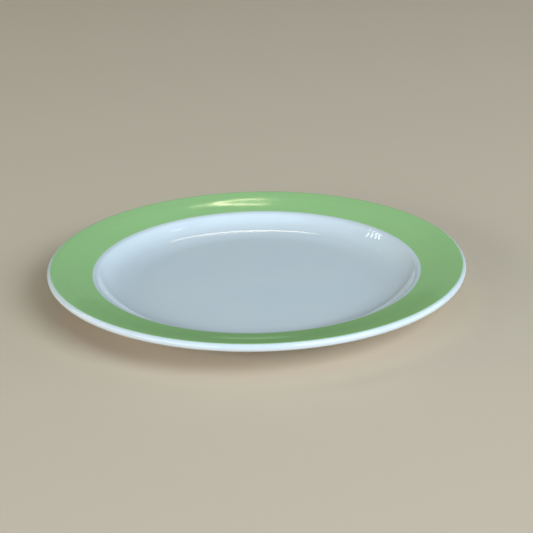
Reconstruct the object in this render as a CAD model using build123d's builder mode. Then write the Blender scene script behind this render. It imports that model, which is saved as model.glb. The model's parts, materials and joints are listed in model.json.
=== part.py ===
from build123d import *
import os
from math import radians, sin, tan

# China dinner plate with a coloured rim band.
# Millimetres, +Z up.  The origin is the centre of the foot ring, on the surface that the plate
# stands on.  The plate is one fired clay body under fired coats of glaze.  Every piece is a turned
# shape, so each one is a half section on the XZ plane, revolved about Z.

# Driving dimensions of the finished plate, glaze included
plate_diameter = 270.0        # over the rolled lip
lip_thickness = 4.9           # the lip is a full round
foot_recess = 3.0             # from the table up to the glazed base
base_thickness = 4.5          # from the glazed base up to the floor of the well
glaze_thickness = 0.25
band_inner_radius = 106.0
band_outer_radius = 133.1

# The face-up surface is a flat floor and a chain of tangent arcs.  Slopes are in degrees.
floor_bend_radius = 62.0
floor_bend_slope = 13.4
wall_radius = 22.3
wall_slope = 48.6
verge_radius = 4.0            # the round edge where the flag turns down into the well
flag_radius = 410.0           # the flag is dished next to the well and crowned next to the lip
flag_root_slope = 10.1
flag_middle_slope = 12.2
flag_lip_slope = 10.4

# The underside is straight runs with rounded corners
flag_under_slope = 11.0
shoulder_at = 106.2           # radius of the corner between flag and wall
shoulder_round = 8.0
wall_under_slope = 45.0
belly_at = 99.2               # radius of the corner between wall and base
belly_round = 20.0
foot_outer_radius = 80.0
foot_inner_radius = 77.0
foot_height = 3.2             # outside the ring
foot_flank_slope = 65.0
foot_hollow_round = 2.0
standing_round = 0.6
bare_height = 0.6             # the foot ring is free of glaze up to here

past_axis = 10.0              # sections run past the axis until they have been offset
clear = 10.0                  # how far a cutting outline stands outside the plate


def run(radius, first_slope, last_slope):
    """How far outwards an arc reaches between two slopes."""
    return radius * (sin(radians(last_slope)) - sin(radians(first_slope)))


def rise(distance, slope):
    """How far a straight line at this slope climbs over a distance."""
    return distance * tan(radians(slope))


lip_radius = lip_thickness / 2
floor_z = foot_recess + base_thickness
floor_radius = (
    plate_diameter / 2
    - lip_radius
    - run(lip_radius, 0, flag_lip_slope)
    - run(flag_radius, flag_lip_slope, flag_middle_slope)
    - run(flag_radius, flag_root_slope, flag_middle_slope)
    - run(verge_radius, flag_root_slope, wall_slope)
    - run(wall_radius, floor_bend_slope, wall_slope)
    - run(floor_bend_radius, 0, floor_bend_slope)
)

# --- Finished section: the plate with its glaze on ----------------------------------------------
with BuildSketch(Plane.XZ) as finished:
    with BuildLine():
        floor = Line((-past_axis, floor_z), (floor_radius, floor_z))
        floor_bend = JernArc(floor @ 1, floor % 1, floor_bend_radius, floor_bend_slope)
        wall = JernArc(floor_bend @ 1, floor_bend % 1, wall_radius, wall_slope - floor_bend_slope)
        verge = JernArc(wall @ 1, wall % 1, verge_radius, flag_root_slope - wall_slope)
        dish = JernArc(verge @ 1, verge % 1, flag_radius, flag_middle_slope - flag_root_slope)
        crown = JernArc(dish @ 1, dish % 1, flag_radius, flag_lip_slope - flag_middle_slope)
        lip_turn = flag_under_slope - flag_lip_slope - 180
        lip = JernArc(crown @ 1, crown % 1, lip_radius, lip_turn)

        under_lip = lip @ 1
        shoulder_z = under_lip.Y - rise(under_lip.X - shoulder_at, flag_under_slope)
        belly_z = shoulder_z - rise(shoulder_at - belly_at, wall_under_slope)
        flank_out = foot_height / tan(radians(foot_flank_slope))
        flank_in = foot_recess / tan(radians(foot_flank_slope))
        underside = FilletPolyline(
            under_lip,
            (shoulder_at, shoulder_z),
            (belly_at, belly_z),
            (foot_outer_radius + flank_out, foot_height),
            (foot_outer_radius, 0),
            (foot_inner_radius, 0),
            (foot_inner_radius - flank_in, foot_recess),
            (-past_axis, foot_recess),
            radius=[
                shoulder_round,
                belly_round,
                foot_hollow_round,
                standing_round,
                standing_round,
                foot_hollow_round,
            ],
        )
        Line(underside @ 1, floor @ 0)
    make_face()

# --- Clay section: the body under the glaze, which comes down bare to the standing edge ---------
with BuildSketch(Plane.XZ) as bare_foot:
    add(finished.sketch)
    with Locations((foot_outer_radius, 0)):
        Rectangle(2 * clear, 2 * bare_height, mode=Mode.INTERSECT)

with BuildSketch(Plane.XZ) as clay:
    add(finished.sketch)
    offset(amount=-glaze_thickness, mode=Mode.REPLACE)
    add(bare_foot.sketch)
    split(bisect_by=Plane.YZ, keep=Keep.TOP)

# --- Glaze section: what the clay leaves of the finished plate ----------------------------------
with BuildSketch(Plane.XZ) as glaze:
    add(finished.sketch)
    add(clay.sketch, mode=Mode.SUBTRACT)
    split(bisect_by=Plane.YZ, keep=Keep.TOP)

# --- The glaze is four coats, told apart by a line through the middle of the clay ---------------
floor_middle_z = floor_z - base_thickness / 2
lip_centre = lip.arc_center
sky_z = lip_centre.Y + clear
with BuildSketch(Plane.XZ) as face_up:
    with BuildLine():
        Polyline(
            (0, floor_middle_z),
            (floor_radius, floor_middle_z),
            floor_bend @ 1 - Vector(0, base_thickness / 2),
            wall @ 1 - Vector(0, lip_radius),
            lip_centre,
            (lip_centre.X + clear, lip_centre.Y),
            (lip_centre.X + clear, sky_z),
            (0, sky_z),
            close=True,
        )
    make_face()

with BuildSketch(Plane.XZ) as well_coat:
    add(glaze.sketch)
    add(face_up.sketch, mode=Mode.INTERSECT)
    Rectangle(2 * band_inner_radius, 2 * sky_z, mode=Mode.INTERSECT)

with BuildSketch(Plane.XZ) as band_coat:
    add(glaze.sketch)
    add(face_up.sketch, mode=Mode.INTERSECT)
    Rectangle(2 * band_inner_radius, 2 * sky_z, mode=Mode.SUBTRACT)
    Rectangle(2 * band_outer_radius, 2 * sky_z, mode=Mode.INTERSECT)

with BuildSketch(Plane.XZ) as base_coat:
    add(glaze.sketch)
    Rectangle(foot_inner_radius + foot_outer_radius, 2 * floor_middle_z, mode=Mode.INTERSECT)

with BuildSketch(Plane.XZ) as back_coat:
    add(glaze.sketch)
    add(well_coat.sketch, mode=Mode.SUBTRACT)
    add(band_coat.sketch, mode=Mode.SUBTRACT)
    add(base_coat.sketch, mode=Mode.SUBTRACT)

# --- Porcelain body: floor, wall, flag, rolled lip and foot ring in one turned and fired piece ---
with BuildPart() as porcelain_body:
    add(clay.sketch)
    revolve(axis=Axis.Z)
porcelain_body.part.label = "porcelain_body"

# --- Well glaze: the clear coat of the floor and wall, up to the inner edge of the band ----------
with BuildPart() as well_glaze:
    add(well_coat.sketch)
    revolve(axis=Axis.Z)
well_glaze.part.label = "well_glaze"

# --- Rim band: the coloured coat on the flag -----------------------------------------------------
with BuildPart() as rim_band:
    add(band_coat.sketch)
    revolve(axis=Axis.Z)
rim_band.part.label = "rim_band"

# --- Back glaze: the clear coat round the lip and over the back, down to the bare foot ----------
with BuildPart() as back_glaze:
    add(back_coat.sketch)
    revolve(axis=Axis.Z)
back_glaze.part.label = "back_glaze"

# --- Base glaze: the clear coat of the recess inside the foot ring -------------------------------
with BuildPart() as base_glaze:
    add(base_coat.sketch)
    revolve(axis=Axis.Z)
base_glaze.part.label = "base_glaze"

os.makedirs("parts", exist_ok=True)
export_step(porcelain_body.part, "parts/porcelain_body.step")
export_step(well_glaze.part, "parts/well_glaze.step")
export_step(rim_band.part, "parts/rim_band.step")
export_step(back_glaze.part, "parts/back_glaze.step")
export_step(base_glaze.part, "parts/base_glaze.step")

height = lip_centre.Y + lip_radius
print(f"plate {plate_diameter:.1f} across and {height:.2f} high, well floor at {floor_z:.2f}")
print(f"flat floor radius {floor_radius:.2f}, top of the verge at {(verge @ 1).X:.2f}, {(verge @ 1).Y:.2f}")
print(f"lip centre at {lip_centre.X:.2f}, {lip_centre.Y:.2f}")
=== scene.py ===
# %% [markdown]
# # A porcelain dinner plate with a green rim band
# A dinner plate is one turned and fired piece of clay under a skin of coloured and clear glass. The
# CAD model holds its sizes. This file gives it a smooth surface, its glazes, a table and soft light.
# The first lines load the CAD model, which is the fixed frame that everything here is built around.

# %% Load the frame
import json
from math import asin, atan2, ceil, copysign, cos, hypot, pi, radians, sin, tan

import bpy
from mathutils import Matrix, Vector


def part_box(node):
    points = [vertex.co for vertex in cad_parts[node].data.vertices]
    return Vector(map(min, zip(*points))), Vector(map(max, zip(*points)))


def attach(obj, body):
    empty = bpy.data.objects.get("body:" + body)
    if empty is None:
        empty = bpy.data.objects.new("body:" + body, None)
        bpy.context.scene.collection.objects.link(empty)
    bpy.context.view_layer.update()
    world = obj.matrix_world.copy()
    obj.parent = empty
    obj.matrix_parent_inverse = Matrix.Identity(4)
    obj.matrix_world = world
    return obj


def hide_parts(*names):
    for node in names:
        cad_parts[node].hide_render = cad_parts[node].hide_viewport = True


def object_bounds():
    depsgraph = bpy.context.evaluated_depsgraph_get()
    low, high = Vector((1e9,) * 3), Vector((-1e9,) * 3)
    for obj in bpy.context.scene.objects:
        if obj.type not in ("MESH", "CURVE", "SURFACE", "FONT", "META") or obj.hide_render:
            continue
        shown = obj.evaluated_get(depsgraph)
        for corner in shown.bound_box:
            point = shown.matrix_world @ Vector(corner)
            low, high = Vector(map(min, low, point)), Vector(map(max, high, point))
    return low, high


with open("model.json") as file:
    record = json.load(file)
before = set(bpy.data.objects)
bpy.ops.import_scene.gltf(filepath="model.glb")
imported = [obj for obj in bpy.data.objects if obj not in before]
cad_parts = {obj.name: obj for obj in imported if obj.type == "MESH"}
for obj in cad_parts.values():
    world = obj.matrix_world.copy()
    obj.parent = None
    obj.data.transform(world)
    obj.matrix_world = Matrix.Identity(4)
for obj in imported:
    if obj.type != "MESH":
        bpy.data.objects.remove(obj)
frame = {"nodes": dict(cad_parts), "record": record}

cad_box = [list(corner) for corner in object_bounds()]
print("CAD nodes:", ", ".join(sorted(frame["nodes"])))
print("CAD box in mm:", [[round(1000 * x, 1) for x in corner] for corner in cad_box])

# %% [markdown]
# ## Sizes
# Blender works in metres, so a small unit makes the numbers readable: `2.5 * MM`. What the frame
# knows is read from it, so that the two models can't drift apart. The slopes and radii below repeat
# the CAD model's section, because a mesh of triangles doesn't say what arcs it was made from.

# %% Sizes from the frame
MM = 0.001
MICRON = 0.001 * MM
mounts = {m["name"]: Vector(m["pos_m"]) for m in frame["record"]["mounts"]}
plate_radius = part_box("back_glaze")[1].x
plate_height = cad_box[1][2]
floor_z = mounts["well_floor"].z
band_inner_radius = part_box("well_glaze")[1].x
band_outer_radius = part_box("rim_band")[1].x
print(f"plate {plate_radius / MM:.2f} mm in radius and {plate_height / MM:.2f} mm high")
print(f"band from {band_inner_radius / MM:.2f} to {band_outer_radius / MM:.2f} mm in radius")
print(f"the floor of the well is {floor_z / MM:.2f} mm above the table")

# %% Sizes of the section
glaze_thickness = 0.25 * MM
lip_radius = 2.45 * MM
floor_bend_radius, floor_bend_slope = 62.0 * MM, radians(13.4)
wall_radius, wall_slope = 22.3 * MM, radians(48.6)
verge_radius = 4.0 * MM
flag_radius = 410.0 * MM
flag_root_slope, flag_middle_slope, flag_lip_slope = radians(10.1), radians(12.2), radians(10.4)

flag_under_slope, wall_under_slope = radians(11.0), radians(45.0)
shoulder_at, shoulder_round = 106.2 * MM, 8.0 * MM
belly_at, belly_round = 99.2 * MM, 20.0 * MM
foot_outer_radius, foot_inner_radius = 80.0 * MM, 77.0 * MM
foot_height, foot_recess = 3.2 * MM, 3.0 * MM
foot_flank_slope = radians(65.0)
foot_hollow_round, standing_round, bare_height = 2.0 * MM, 0.6 * MM, 0.6 * MM
print(f"foot ring from {foot_inner_radius / MM:.0f} to {foot_outer_radius / MM:.0f} mm in radius")
print(f"each coat of glaze is {glaze_thickness / MM:.2f} mm thick")

# %% [markdown]
# ## Camera
# The camera looks down at the plate the way a person does who stands a step away from the table.
# It is made from four plain facts: where it looks, how high above the horizon it stands, how far
# away it is and how much it leans. A matrix built from its three axes puts all of them together,
# which is easier to read than three Euler angles. The lens is a long one, so the plate fills the
# picture from a step away and its ellipse isn't stretched.

# %% Camera
lip_centre_z = plate_height - lip_radius
look_at = Vector((6.4 * MM, -6.51 * MM, lip_centre_z))
camera_elevation = radians(21.73)
camera_distance = 1.128
camera_lean = radians(-1.09)

ahead = Vector((0, cos(camera_elevation), -sin(camera_elevation)))
level_right = Vector((1, 0, 0))
level_up = level_right.cross(ahead)
right = level_right * cos(camera_lean) + level_up * sin(camera_lean)
up = level_up * cos(camera_lean) - level_right * sin(camera_lean)

camera_data = bpy.data.cameras.new("camera")
camera_data.sensor_width = 36.0
camera_data.lens = 118.2
camera = bpy.data.objects.new("camera", camera_data)
bpy.context.scene.collection.objects.link(camera)
axes = Matrix((right, up, -ahead)).transposed().to_4x4()
camera.matrix_world = Matrix.Translation(look_at - ahead * camera_distance) @ axes
bpy.context.scene.camera = camera
print("camera stands at", [round(x, 3) for x in camera.location], "m")

# %% [markdown]
# ## The potter's template
# A plate is pressed by a turning head against a template, so its shape is one half section turned
# about an axis. The section is walked like a path: straight lines and round bends, each starting
# in the direction in which the last one ended. That keeps the outline smooth without any list of
# measured points. Every point keeps its heading, because the inner face of a glaze coat lies
# square to the outline, a quarter of a millimetre under it.

# %% The template
LONGEST_STEP = 2.5 * MM
WIDEST_TURN = radians(3.0)


class Template:
    """A half section as points (radius, height, heading), walked with the clay on the right hand."""

    def __init__(self, radius, height):
        self.points = [(radius, height, 0.0)]
        self.marks = {}

    def mark(self, name):
        self.marks[name] = len(self.points) - 1

    def line(self, length):
        r, z, heading = self.points[-1]
        steps = max(1, ceil(length / LONGEST_STEP))
        for k in range(1, steps + 1):
            along = length * k / steps
            self.points.append((r + along * cos(heading), z + along * sin(heading), heading))

    def bend(self, radius, turn):
        """A round bend. A positive turn, in radians, is to the left."""
        r, z, heading = self.points[-1]
        reach = copysign(radius, turn)
        centre_r, centre_z = r - reach * sin(heading), z + reach * cos(heading)
        steps = max(1, ceil(abs(turn) / WIDEST_TURN), ceil(radius * abs(turn) / LONGEST_STEP))
        for k in range(1, steps + 1):
            to = heading + turn * k / steps
            self.points.append((centre_r + reach * sin(to), centre_z - reach * cos(to), to))

    def corners(self, route):
        """Straight runs through rounded corners, given as (point, round, mark), to the last point."""
        before, cut_before = self.points[-1][:2], 0.0
        for (corner, rounding, name), (after, _, _) in zip(route, route[1:] + [(None, 0, None)]):
            run = (corner[0] - before[0], corner[1] - before[1])
            turn, cut = 0.0, 0.0
            if after is not None:
                out = (after[0] - corner[0], after[1] - corner[1])
                turn = atan2(run[0] * out[1] - run[1] * out[0], run[0] * out[0] + run[1] * out[1])
                cut = rounding * tan(abs(turn) / 2)
            self.line(hypot(*run) - cut_before - cut)
            if rounding:
                self.bend(rounding, turn)
            if name:
                self.mark(name)
            before, cut_before = corner, cut


trial = Template(0.0, 0.0)
trial.bend(10 * MM, pi / 2)
print("a quarter bend of 10 mm ends at", [round(x / MM, 3) for x in trial.points[-1][:2]], "mm")

# %% [markdown]
# The face of the plate is walked from the middle of the well out to the lip. The flag, which is a
# potter's word for the rim, isn't a plain cone: it is dished next to the well and crowned next to
# the lip. A lamp behind the plate shows that shape, because its reflection closes into a loop.
# The lip's outer edge is known from the frame, so the places where the arcs meet are counted back
# from it: each arc takes up as much radius as its change of slope asks for.

# %% Where the arcs of the face meet
def slope_at(radius, start_radius, start_slope, bend_radius):
    """The slope that an arc has reached where it gets to a radius."""
    return asin(sin(start_slope) + (radius - start_radius) / bend_radius)


def run(radius, first, last):
    """How far outwards an arc reaches between two slopes."""
    return radius * (sin(last) - sin(first))


flag_root_radius = (
    plate_radius
    - lip_radius
    - run(lip_radius, 0, flag_lip_slope)
    - run(flag_radius, flag_lip_slope, flag_middle_slope)
    - run(flag_radius, flag_root_slope, flag_middle_slope)
)
floor_radius = (
    flag_root_radius
    - run(verge_radius, flag_root_slope, wall_slope)
    - run(wall_radius, floor_bend_slope, wall_slope)
    - run(floor_bend_radius, 0, floor_bend_slope)
)
lip_centre_radius = plate_radius - lip_radius
band_start_slope = slope_at(band_inner_radius, flag_root_radius, flag_root_slope, flag_radius)
band_end_slope = asin((lip_centre_radius - band_outer_radius) / lip_radius)
print(f"flat floor out to {floor_radius / MM:.1f} mm, flag from {flag_root_radius / MM:.1f} mm")

# %% Walk the face and the lip
section = Template(0.0, floor_z)
section.line(floor_radius)
section.bend(floor_bend_radius, floor_bend_slope)
section.bend(wall_radius, wall_slope - floor_bend_slope)
section.bend(verge_radius, flag_root_slope - wall_slope)
section.bend(flag_radius, band_start_slope - flag_root_slope)
section.mark("band_inner")
section.bend(flag_radius, flag_middle_slope - band_start_slope)
section.bend(flag_radius, flag_lip_slope - flag_middle_slope)
section.bend(lip_radius, band_end_slope - flag_lip_slope)
section.mark("band_outer")
section.bend(lip_radius, flag_under_slope - band_end_slope - pi)
print(f"the face and the lip have {len(section.points)} points")

# %% [markdown]
# The back is seen only when the plate is washed or stacked, and it is simpler: straight runs with
# rounded corners, from the lip down to the foot ring, over the ring's standing edge and across the
# recess. The glaze ends a little above the standing edge, so the walk marks those two places.

# %% Walk the back
under_lip_r, under_lip_z, _ = section.points[-1]
shoulder_z = under_lip_z - (under_lip_r - shoulder_at) * tan(flag_under_slope)
belly_z = shoulder_z - (shoulder_at - belly_at) * tan(wall_under_slope)
flank_lean = 1 / tan(foot_flank_slope)
section.corners([
    ((shoulder_at, shoulder_z), shoulder_round, None),
    ((belly_at, belly_z), belly_round, None),
    ((foot_outer_radius + foot_height * flank_lean, foot_height), foot_hollow_round, None),
    ((foot_outer_radius + bare_height * flank_lean, bare_height), 0, "glaze_ends"),
    ((foot_outer_radius, 0.0), standing_round, None),
    ((foot_inner_radius, 0.0), standing_round, None),
    ((foot_inner_radius - bare_height * flank_lean, bare_height), 0, "glaze_starts"),
    ((foot_inner_radius - foot_recess * flank_lean, foot_recess), foot_hollow_round, None),
    ((0.0, foot_recess), 0, None),
])
print(f"the whole section has {len(section.points)} points")

# %% [markdown]
# ## Node trees from Python
# Geometry Nodes and shader nodes are built by the same small helper. `Graph.add` takes a node's
# type, its settings and the values or links of its sockets. `Value` wraps a socket of numbers, so
# that arithmetic on it reads as arithmetic and adds the Math nodes behind the scenes.

# %% Value
class Value:
    """A socket that holds a number. Arithmetic on it adds Math nodes to its tree."""

    def __init__(self, graph, socket):
        self.graph, self.socket = graph, socket

    def math(self, operation, *others):
        sockets = dict(enumerate([self, *others]))
        return self.graph.value("ShaderNodeMath", {"operation": operation}, sockets)

    def __add__(self, other):
        return self.math("ADD", other)

    def __sub__(self, other):
        return self.math("SUBTRACT", other)

    def __mul__(self, other):
        return self.math("MULTIPLY", other)

    def __truediv__(self, other):
        return self.math("DIVIDE", other)

    def __rsub__(self, other):
        return self.graph.value("ShaderNodeMath", {"operation": "SUBTRACT"}, {0: other, 1: self})

    def __rtruediv__(self, other):
        return self.graph.value("ShaderNodeMath", {"operation": "DIVIDE"}, {0: other, 1: self})

    __radd__ = __add__

    def ramp(self, low, high, ease="SMOOTHSTEP"):
        """0 below low, 1 above high, and a smooth step between."""
        inputs = {"Value": self, "From Min": low, "From Max": high}
        return self.graph.value("ShaderNodeMapRange", {"interpolation_type": ease}, inputs, "Result")


print("a Value can be added to, subtracted, multiplied, divided and eased between two limits")

# %% Graph
class Graph:
    """Adds nodes to a tree and links them."""

    def __init__(self, tree):
        self.tree = tree

    def add(self, kind, settings=None, inputs=None):
        node = self.tree.nodes.new(kind)
        for name, setting in (settings or {}).items():
            setattr(node, name, setting)
        self.feed(node, inputs or {})
        return node

    def feed(self, node, inputs):
        """Gives the named sockets of a node their values, or links them to other sockets."""
        for key, what in inputs.items():
            what = what.socket if isinstance(what, Value) else what
            if isinstance(what, bpy.types.NodeSocket):
                self.tree.links.new(what, node.inputs[key])
            else:
                node.inputs[key].default_value = what

    def value(self, kind, settings=None, inputs=None, output=0):
        return Value(self, self.add(kind, settings, inputs).outputs[output])


trial_tree = bpy.data.node_groups.new("trial", "GeometryNodeTree")
trial_value = (1 - Graph(trial_tree).value("GeometryNodeInputIndex")) * 2
print("(1 - index) * 2 takes", len(trial_tree.nodes), "nodes")
bpy.data.node_groups.remove(trial_tree)

# %% [markdown]
# ## The wheel
# The main piece of the plate follows one rule, so Geometry Nodes make it. The object that goes in
# is only the section, a row of points. The tree lays out a grid with one row of vertices for each
# point of the section and one column for each step round the wheel, and turns each vertex to its
# place. Curve to Mesh could sweep the section too, but a grid says plainly which vertex is which.
#
# Fired ware is never quite flat. The rim sags a little on two sides and lifts on the other two,
# and the surface has slow ripples. Both are height fields of x and y alone, so all the pieces get
# the same lift in the same place and stay face to face.

# %% What can be set on the wheel
WHEEL_INPUTS = [
    ("Turns", "NodeSocketInt", 320),
    ("Weld Distance", "NodeSocketFloat", 0.001 * MM),
    ("Still Radius", "NodeSocketFloat", 85.0 * MM),
    ("Rim Radius", "NodeSocketFloat", plate_radius),
    ("Warp Height", "NodeSocketFloat", 0.12 * MM),
    ("Warp Direction", "NodeSocketFloat", radians(35.0)),
    ("Ripple Height", "NodeSocketFloat", 0.008 * MM),
    ("Ripple Size", "NodeSocketFloat", 28.0 * MM),
    ("Ripple Seed", "NodeSocketFloat", 7.0),
    ("Sharp Angle", "NodeSocketFloat", radians(38.0)),
    ("Glaze", "NodeSocketMaterial", None),
]
print("the wheel's inputs are", ", ".join(name for name, _, _ in WHEEL_INPUTS))

# %% Steps of the wheel
def lay_out_grid(g, given):
    """A grid with a row for each point of the section, and the column and row of each vertex."""
    counted = {0: given["Geometry"]}
    rows = g.value("GeometryNodeAttributeDomainSize", {"component": "MESH"}, counted, "Point Count")
    counts = {"Vertices X": Value(g, given["Turns"]) + 1, "Vertices Y": rows}
    grid = g.add("GeometryNodeMeshGrid", {}, counts)
    index = g.value("GeometryNodeInputIndex")
    column = (index / rows).math("FLOOR")
    return grid.outputs["Mesh"], column, index - column * rows


def read_section(g, given, row):
    """The radius and the height of the section's point for a row."""
    place = g.add("GeometryNodeInputPosition").outputs[0]
    inputs = {"Geometry": given["Geometry"], "Value": place, "Index": row}
    sample = g.add("GeometryNodeSampleIndex", {"data_type": "FLOAT_VECTOR"}, inputs)
    point = g.add("ShaderNodeSeparateXYZ", {}, {0: sample.outputs["Value"]}).outputs
    return Value(g, point["X"]), Value(g, point["Z"])


def warp(g, given, radius, angle):
    """How far the kiln lifted the rim: up on two sides and down on the other two."""
    out = radius.ramp(given["Still Radius"], given["Rim Radius"], "LINEAR")
    return ((angle - given["Warp Direction"]) * 2).math("COSINE") * out * out * given["Warp Height"]


def ripples(g, given, x, y):
    """Slow unevenness of the surface, as a height over each place on the table."""
    flat_place = g.add("ShaderNodeCombineXYZ", {}, {"X": x, "Y": y}).outputs[0]
    scale = 1 / Value(g, given["Ripple Size"])
    inputs = {"Vector": flat_place, "W": given["Ripple Seed"], "Scale": scale}
    noise_value = g.value("ShaderNodeTexNoise", {"noise_dimensions": "4D"}, inputs, 0)
    return (noise_value - 0.5) * 2 * given["Ripple Height"]


def weld_and_glaze(g, given, turned):
    """Closes the seam and the pole, smooths all but the sharp edges, and lays on the material."""
    weld_inputs = {"Geometry": turned, "Distance": given["Weld Distance"]}
    welded = g.add("GeometryNodeMergeByDistance", {}, weld_inputs)
    round_inputs = {"Geometry": welded.outputs[0], "Shade Smooth": True}
    rounded = g.add("GeometryNodeSetShadeSmooth", {"domain": "FACE"}, round_inputs)
    bent = g.value("GeometryNodeInputMeshEdgeAngle") - given["Sharp Angle"]
    smooth_inputs = {"Geometry": rounded.outputs[0], "Shade Smooth": bent.math("LESS_THAN", 0.0)}
    smoothed = g.add("GeometryNodeSetShadeSmooth", {"domain": "EDGE"}, smooth_inputs)
    real = g.add("GeometryNodeRealizeInstances", {}, {0: smoothed.outputs[0]})
    glazed = g.add("GeometryNodeSetMaterial", {}, {0: real.outputs[0], "Material": given["Glaze"]})
    return glazed.outputs[0]


print("a grid is laid out, turned, warped, rippled, welded and glazed")

# %% The wheel's tree
def build_wheel():
    """A tree that turns a section, given as a row of points in the XZ plane, about Z."""
    tree = bpy.data.node_groups.new("potters_wheel", "GeometryNodeTree")
    tree.interface.new_socket("Geometry", in_out="INPUT", socket_type="NodeSocketGeometry")
    tree.interface.new_socket("Geometry", in_out="OUTPUT", socket_type="NodeSocketGeometry")
    for name, kind, default in WHEEL_INPUTS:
        socket = tree.interface.new_socket(name, in_out="INPUT", socket_type=kind)
        if default is not None:
            socket.default_value = default

    g = Graph(tree)
    given = g.add("NodeGroupInput").outputs
    grid, column, row = lay_out_grid(g, given)
    radius, height = read_section(g, given, row)

    # Turned clockwise, so that the faces point outwards
    angle = column / given["Turns"] * (-2 * pi)
    x, y = radius * angle.math("COSINE"), radius * angle.math("SINE")
    z = height + warp(g, given, radius, angle) + ripples(g, given, x, y)
    place = g.add("ShaderNodeCombineXYZ", {}, {"X": x, "Y": y, "Z": z}).outputs[0]
    turned = g.add("GeometryNodeSetPosition", {}, {"Geometry": grid, "Position": place})
    g.add("NodeGroupOutput", {}, {0: weld_and_glaze(g, given, turned.outputs[0])})
    return tree


wheel = build_wheel()
print("the wheel has", len(wheel.nodes), "nodes")

# %% [markdown]
# The section comes from the template in two ways. A coat of glaze is a closed strip: out along the
# surface and back a quarter of a millimetre under it. The clay is everything under the coats, and
# it comes up to the full outline only at the foot, which stays bare so that the plate doesn't
# stick to the kiln shelf.

# %% Sections of the clay and the coats
def sunk(points, depth):
    """The points moved square to the outline, into the clay on the right hand."""
    return [(r + depth * sin(h), z - depth * cos(h)) for r, z, h in points]


def on_axis(point):
    return abs(point[0]) < 0.01 * MM


def coat_section(first, last):
    """A closed strip between two places on the template, which starts and ends on the axis if it can."""
    surface = section.points[first : last + 1]
    over = sunk(surface, 0)
    under = sunk(surface, glaze_thickness)[::-1]
    if on_axis(over[0]):
        return over + under
    if on_axis(over[-1]):
        return under + over
    return over + under + over[:1]


def clay_section():
    """The whole outline under the glaze, with the bare foot at its full size."""
    bare_from, bare_to = section.marks["glaze_ends"], section.marks["glaze_starts"]
    points = sunk(section.points[: bare_from + 1], glaze_thickness)
    points += sunk(section.points[bare_from : bare_to + 1], 0)
    return points + sunk(section.points[bare_to:], glaze_thickness)


print("the section of the clay has", len(clay_section()), "points")

# %% [markdown]
# A modifier could stay on the object, but each piece is kept as a plain mesh. So each piece is
# turned on a blank that carries the wheel as a modifier, its evaluated mesh is copied, and the
# blank is thrown away.

# %% Turning one piece
def turn_on_wheel(name, points, turns, material, nodes):
    """Turns a section and returns a plain mesh object that stands for the named CAD nodes."""
    wire = bpy.data.meshes.new(name + "_section")
    wire.from_pydata([(r, 0.0, z) for r, z in points], [], [])
    blank = bpy.data.objects.new(name + "_section", wire)
    bpy.context.scene.collection.objects.link(blank)
    modifier = blank.modifiers.new("wheel", "NODES")
    modifier.node_group = wheel
    own = {"Turns": turns, "Glaze": material}
    defaults = {label: default for label, _, default in WHEEL_INPUTS}
    for item in wheel.interface.items_tree:
        if item.name in defaults:
            modifier[item.identifier] = own.get(item.name, defaults[item.name])

    shaped = blank.evaluated_get(bpy.context.evaluated_depsgraph_get())
    mesh = bpy.data.meshes.new_from_object(shaped)
    mesh.name = name
    bpy.data.objects.remove(blank)
    piece = bpy.data.objects.new(name, mesh)
    bpy.context.scene.collection.objects.link(piece)
    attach(piece, "root")
    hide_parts(*nodes)
    triangles = sum(len(face.vertices) - 2 for face in mesh.polygons)
    print(f"{name}: {len(points)} points in the section, {triangles} triangles")
    return piece


print("pieces can be turned from a section, a count of steps and a glaze")

# %% [markdown]
# ## Glaze
# A glaze is a layer of glass. Almost all of what makes it look like one is the clean reflection on
# top, and the small faults that keep that reflection from being perfect: a faint orange peel left
# by the spray gun and slower waves where the glaze ran. Those go to the Bump node. The colour below
# varies a little where the coat is thicker, and an iron speck shows here and there. All patterns
# read Object coordinates in metres, so a scale is one over a size in metres.

# %% Helpers for the finishes
def new_material(name):
    """A material with its Principled shader and a graph to add nodes with."""
    material = bpy.data.materials.new(name)
    material.use_nodes = True
    material.node_tree.nodes.clear()
    g = Graph(material.node_tree)
    shader = g.add("ShaderNodeBsdfPrincipled")
    g.add("ShaderNodeOutputMaterial", {}, {"Surface": shader.outputs[0]})
    return material, g, shader


def object_place(g):
    return g.add("ShaderNodeTexCoord").outputs["Object"]


def noise(g, place, size, detail=2.0, roughness=0.5):
    """Noise from 0 to 1 with features of about a size in metres."""
    inputs = {"Vector": place, "Scale": 1 / size, "Detail": detail, "Roughness": roughness}
    return g.value("ShaderNodeTexNoise", {}, inputs, 0)


def mix(g, share, first, second):
    """A colour between two colours."""
    node = g.add("ShaderNodeMix", {"data_type": "RGBA"}, {"Factor": share})
    ends = {"A_Color": first, "B_Color": second}
    for key, socket in enumerate(node.inputs):
        if socket.identifier in ends:
            colour = ends[socket.identifier]
            g.feed(node, {key: (*colour, 1.0) if isinstance(colour, tuple) else colour})
    return next(s for s in node.outputs if s.identifier == "Result_Color")


print("features 16 mm wide have a scale of", round(1 / (16 * MM), 1))

# %% Patterns that go round the axis
def radius_and_turn(g, place):
    """The distance from the axis, and the unit direction from it as X and Y."""
    xyz = g.add("ShaderNodeSeparateXYZ", {}, {0: place}).outputs
    x, y = Value(g, xyz["X"]), Value(g, xyz["Y"])
    radius = (x * x + y * y).math("SQRT").math("MAXIMUM", 0.1 * MM)
    return radius, x / radius, y / radius


def wheel_rings(g, place, size, wander):
    """Rings about the axis with features of about a size, which waver as they go round."""
    radius, across, along = radius_and_turn(g, place)
    axes_of_rings = {"X": radius / size, "Y": across * wander, "Z": along * wander}
    ring_place = g.add("ShaderNodeCombineXYZ", {}, axes_of_rings).outputs[0]
    return g.value("ShaderNodeTexNoise", {}, {"Vector": ring_place, "Scale": 1.0, "Detail": 3.0}, 0)


print("rings waver as they go round, the way a brush on a banding wheel leaves them")

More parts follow.
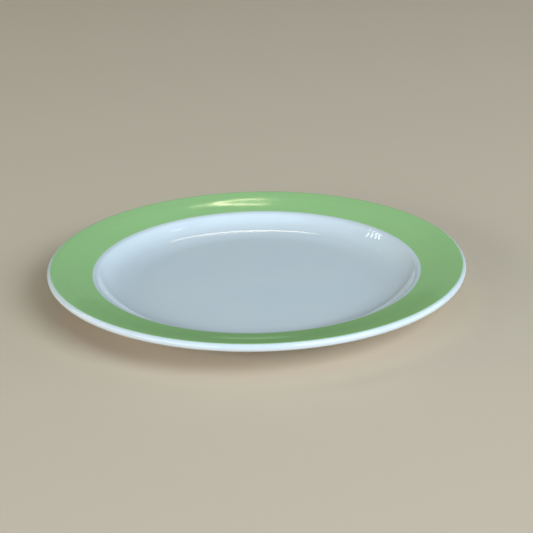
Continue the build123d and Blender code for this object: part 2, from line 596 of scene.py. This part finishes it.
# %% What every glaze has
def glaze_surface(g, place):
    """The height of a sprayed and fired glaze, as a normal: slow waves under a fine orange peel."""
    waves = noise(g, place, 16 * MM, 1.0) * (1.5 * MICRON)
    peel = noise(g, place, 2.2 * MM, 1.0) * (0.12 * MICRON)
    bump = g.add("ShaderNodeBump", {}, {"Strength": 1.0, "Distance": 1.0, "Height": waves + peel})
    return bump.outputs[0]


def iron_specks(g, place, cell, widest):
    """1 inside rare small dots. Each cell of a Voronoi pattern may hold one."""
    inputs = {"Vector": place, "Scale": 1 / cell}
    cells = g.add("ShaderNodeTexVoronoi", {}, inputs)
    distance = Value(g, cells.outputs["Distance"])
    chance = g.add("ShaderNodeSeparateXYZ", {}, {0: cells.outputs["Color"]}).outputs
    size = Value(g, chance["Y"]) * (widest / cell)
    lucky = Value(g, chance["X"]).math("GREATER_THAN", 0.86)
    return (1 - distance.ramp(size * 0.5, size)) * lucky


GLASS_IOR = 1.52


def lay_on(g, shader, place, colour, smudge_size, cleanest):
    """A glassy coat: its colour, a clean surface that fingers have smudged a little, its waves."""
    smudges = noise(g, place, smudge_size, 4.0, 0.6).ramp(0.35, 0.8)
    coat = {"Base Color": colour, "Roughness": cleanest + smudges * 0.03, "IOR": GLASS_IOR}
    g.feed(shader, {**coat, "Normal": glaze_surface(g, place)})


print("a ray of light bends by an index of", GLASS_IOR, "where it enters the glaze")

# %% [markdown]
# The white of porcelain is the clay seen through a clear coat, so it is never paper white: it is a
# little cooler where the coat is thick, and the turning tool leaves very faint rings in it.

# %% White glaze
def white_glaze():
    material, g, shader = new_material("white_glaze")
    place = object_place(g)
    thin_coat, thick_coat = (0.800, 0.812, 0.808), (0.775, 0.795, 0.800)
    tool_ring, iron = (0.755, 0.772, 0.776), (0.33, 0.27, 0.20)
    white = mix(g, noise(g, place, 45 * MM, 2.0).ramp(0.3, 0.7), thin_coat, thick_coat)
    rings = wheel_rings(g, place, 2.6 * MM, 1.5)
    ringed = mix(g, rings.ramp(0.35, 0.75) * 0.25, white, tool_ring)
    specked = mix(g, iron_specks(g, place, 17 * MM, 0.35 * MM) * 0.5, ringed, iron)
    lay_on(g, shader, place, specked, 30 * MM, 0.03)
    return material


white = white_glaze()
print("white glaze made of", len(white.node_tree.nodes), "nodes")

# %% [markdown]
# The green band is laid on the flag with a brush or a rubber disc while the plate turns on a
# banding wheel. So its colour varies in rings that waver a little, and it thins out in the last
# millimetre at its two edges, where the white shines through. Above the colour lies the same clear
# glaze as on the white.

# %% Green glaze
def green_glaze():
    material, g, shader = new_material("green_glaze")
    place = object_place(g)
    radius, _, _ = radius_and_turn(g, place)
    green, deep, thin = (0.418, 0.674, 0.264), (0.402, 0.652, 0.252), (0.500, 0.730, 0.370)
    rings = wheel_rings(g, place, 1.5 * MM, 2.0)
    cloud = noise(g, place, 38 * MM, 2.0)
    body = mix(g, (rings * 0.6 + cloud * 0.4).ramp(0.35, 0.65), green, deep)
    inner_edge = 1 - (radius - band_inner_radius).ramp(0.1 * MM, 0.7 * MM)
    outer_edge = 1 - (band_outer_radius - radius).ramp(0.1 * MM, 0.9 * MM)
    edge = inner_edge.math("MAXIMUM", outer_edge)
    lay_on(g, shader, place, mix(g, edge * 0.7, body, thin), 24 * MM, 0.04)
    return material


green = green_glaze()
print("green glaze made of", len(green.node_tree.nodes), "nodes")

# %% [markdown]
# Bare fired clay is matt and a little warmer than the glaze. The foot of a used plate picks up a
# faint grey from table tops and from the plates under it.

# %% Bare clay
def bare_clay():
    material, g, shader = new_material("fired_clay")
    place = object_place(g)
    light_clay, dark_clay = (0.770, 0.735, 0.665), (0.700, 0.665, 0.600)
    table_grey = (0.48, 0.47, 0.45)
    fired = mix(g, noise(g, place, 3 * MM, 4.0).ramp(0.3, 0.7), light_clay, dark_clay)
    rubbed = noise(g, place, 9 * MM, 3.0, 0.7).ramp(0.5, 0.7) * 0.5
    grit = noise(g, place, 0.35 * MM, 3.0, 0.7)
    bump_inputs = {"Strength": 1.0, "Distance": 1.0, "Height": grit * (0.03 * MM)}
    bump = g.add("ShaderNodeBump", {}, bump_inputs)
    colour = mix(g, rubbed, fired, table_grey)
    g.feed(shader, {"Base Color": colour, "Roughness": 0.70 + grit * 0.2, "Normal": bump.outputs[0]})
    return material


clay = bare_clay()
print("bare clay made of", len(clay.node_tree.nodes), "nodes")

# %% [markdown]
# ## Turn the plate
# Five pieces come off the wheel, one for each piece of the real plate: the clay, and the four coats
# that are laid on it. Each stands for a CAD node. The number says how many steps one turn takes:
# the face has the most, because its clear reflections would show every corner.

# %% Turn the plate
marks = section.marks
well_coat = coat_section(0, marks["band_inner"])
band_coat = coat_section(marks["band_inner"], marks["band_outer"])
back_coat = coat_section(marks["band_outer"], marks["glaze_ends"])
base_coat = coat_section(marks["glaze_starts"], len(section.points) - 1)
pieces = [
    turn_on_wheel("body", clay_section(), 288, clay, ["porcelain_body"]),
    turn_on_wheel("well", well_coat, 576, white, ["well_glaze"]),
    turn_on_wheel("green_band", band_coat, 720, green, ["rim_band"]),
    turn_on_wheel("lip_and_back", back_coat, 384, white, ["back_glaze"]),
    turn_on_wheel("base", base_coat, 288, white, ["base_glaze"]),
]
print("the plate is made of", len(pieces), "pieces")

# %% [markdown]
# ## Table
# The table is a plain pale sheet, large enough that its far edge lies near the horizon. It counts
# as stage, so it isn't part of what is handed on. Its warm colour also tints the shade under the
# rim, the way a real table does.

# %% Table
table_half = 8.0
table_material, table_graph, table_shader = new_material("pale_table")
table_graph.feed(table_shader, {"Base Color": (0.80, 0.62, 0.45, 1.0), "Roughness": 0.6})
corners = [(-table_half, -table_half, 0), (table_half, -table_half, 0),
           (table_half, table_half, 0), (-table_half, table_half, 0)]
table_mesh = bpy.data.meshes.new("table")
table_mesh.from_pydata(corners, [], [(0, 1, 2, 3)])
table_mesh.materials.append(table_material)
table = bpy.data.objects.new("table", table_mesh)
bpy.context.scene.collection.objects.link(table)
print("the table is", 2 * table_half, "m wide")

# %% [markdown]
# ## Light
# A glossy plate shows its lamps as much as it shows itself, so the lamps are laid out like a room
# whose walls are soft rectangles of light, all at the same distance from the plate. A panel says
# where it stands, how large it is and how bright each colour of it is. Its energy grows with its
# area, because a larger lamp of the same brightness sends out more light.

# %% One panel of light
panel_distance = 3.0


def toward(azimuth, elevation):
    """A unit vector. Azimuth 0 is the camera's side, 90 the right, 180 behind, in degrees."""
    a, e = radians(azimuth), radians(elevation)
    return Vector((sin(a) * cos(e), -cos(a) * cos(e), sin(e)))


def panel(name, azimuth, elevation, width, height, light, turn=0.0):
    """A rectangle of light that faces the plate. `light` is its radiance in red, green and blue."""
    strongest = max(light)
    data = bpy.data.lights.new(name, "AREA")
    data.shape = "RECTANGLE"
    data.size, data.size_y = width, height
    data.energy = pi * width * height * strongest
    data.color = [c / strongest for c in light]
    lamp = bpy.data.objects.new(name, data)
    bpy.context.scene.collection.objects.link(lamp)
    direction = toward(azimuth, elevation)
    lamp.location = direction * panel_distance
    facing = direction.to_track_quat("Z", "Y").to_matrix() @ Matrix.Rotation(radians(turn), 3, "Z")
    lamp.rotation_euler = facing.to_euler()


print("every panel stands", panel_distance, "m from the plate")

# %% [markdown]
# The soft light of the room comes first: two low windows on the camera's side, a higher one to the
# right, the walls left and right that throw their light back, a dim ceiling and a wall behind the
# plate that is almost dark. The dark wall keeps the colour of the band deep, because a glaze adds
# whatever it mirrors to its own colour.

# %% Windows, walls and ceiling
world = bpy.data.worlds.new("room")
bpy.context.scene.world = world
world.use_nodes = True
world.node_tree.nodes["Background"].inputs["Color"].default_value = (0.02, 0.02, 0.02, 1.0)

panel("window_right", 42, 13, 2.4, 1.3, (1.3, 1.8, 2.2))
panel("window_left", 318, 13, 2.4, 1.3, (3.4, 4.2, 5.0))
panel("high_window", 45, 37, 2.2, 1.4, (4.8, 5.8, 6.8))
panel("right_wall", 92, 14, 2.2, 1.3, (1.9, 2.45, 2.7))
panel("left_wall", 268, 14, 2.2, 1.3, (2.1, 2.2, 1.8))
panel("ceiling", 0, 80, 2.4, 1.8, (0.52, 0.72, 0.78))
panel("back_wall", 180, 30, 4.5, 1.8, (0.08, 0.10, 0.11))
print("the room is lit by", len(bpy.data.lights), "soft panels")

# %% [markdown]
# The sharp highlights come from small lamps. A short tube behind the plate is mirrored by the far
# flag, where its image closes into a loop, and a glow next to the tube gives the loop its tail. The
# wider reflector above them becomes the long thin arc in the bend of the well. Four slats of a
# blind at the back left show as a comb of strokes on the wall of the well, the side lamp as a soft
# patch on it, and the small spot as a spark on the lip.

# %% Lamps that draw the highlights
panel("tube", 179.4, 41.58, 0.11, 0.010, (22.0, 18.5, 13.0), turn=9.0)
panel("reflector", 178.1, 45.2, 0.60, 0.20, (4.6, 4.0, 3.0))
panel("glow", 177.6, 41.0, 0.08, 0.05, (1.8, 1.5, 1.1))
slat_count, top_slat, slat_spacing = 4, 45.0, 2.8
for k in range(slat_count):
    elevation = top_slat - slat_spacing * k
    panel(f"slat_{k}", 237.9, elevation, 0.70, 0.055, (7.0, 7.3, 7.3), turn=-27.0)
panel("side_lamp", 108.6, 60.6, 0.45, 0.30, (2.6, 2.4, 2.2))
panel("small_spot", 287.4, 53.7, 0.10, 0.10, (7.0, 6.6, 6.2))
print("with the small lamps there are", len(bpy.data.lights), "lights")

# %% [markdown]
# ## Colours on screen
# The Standard view shows each colour as it is, where a film-like view would make the green paler.

# %% View transform
bpy.context.scene.view_settings.view_transform = "Standard"
print("view transform:", bpy.context.scene.view_settings.view_transform)
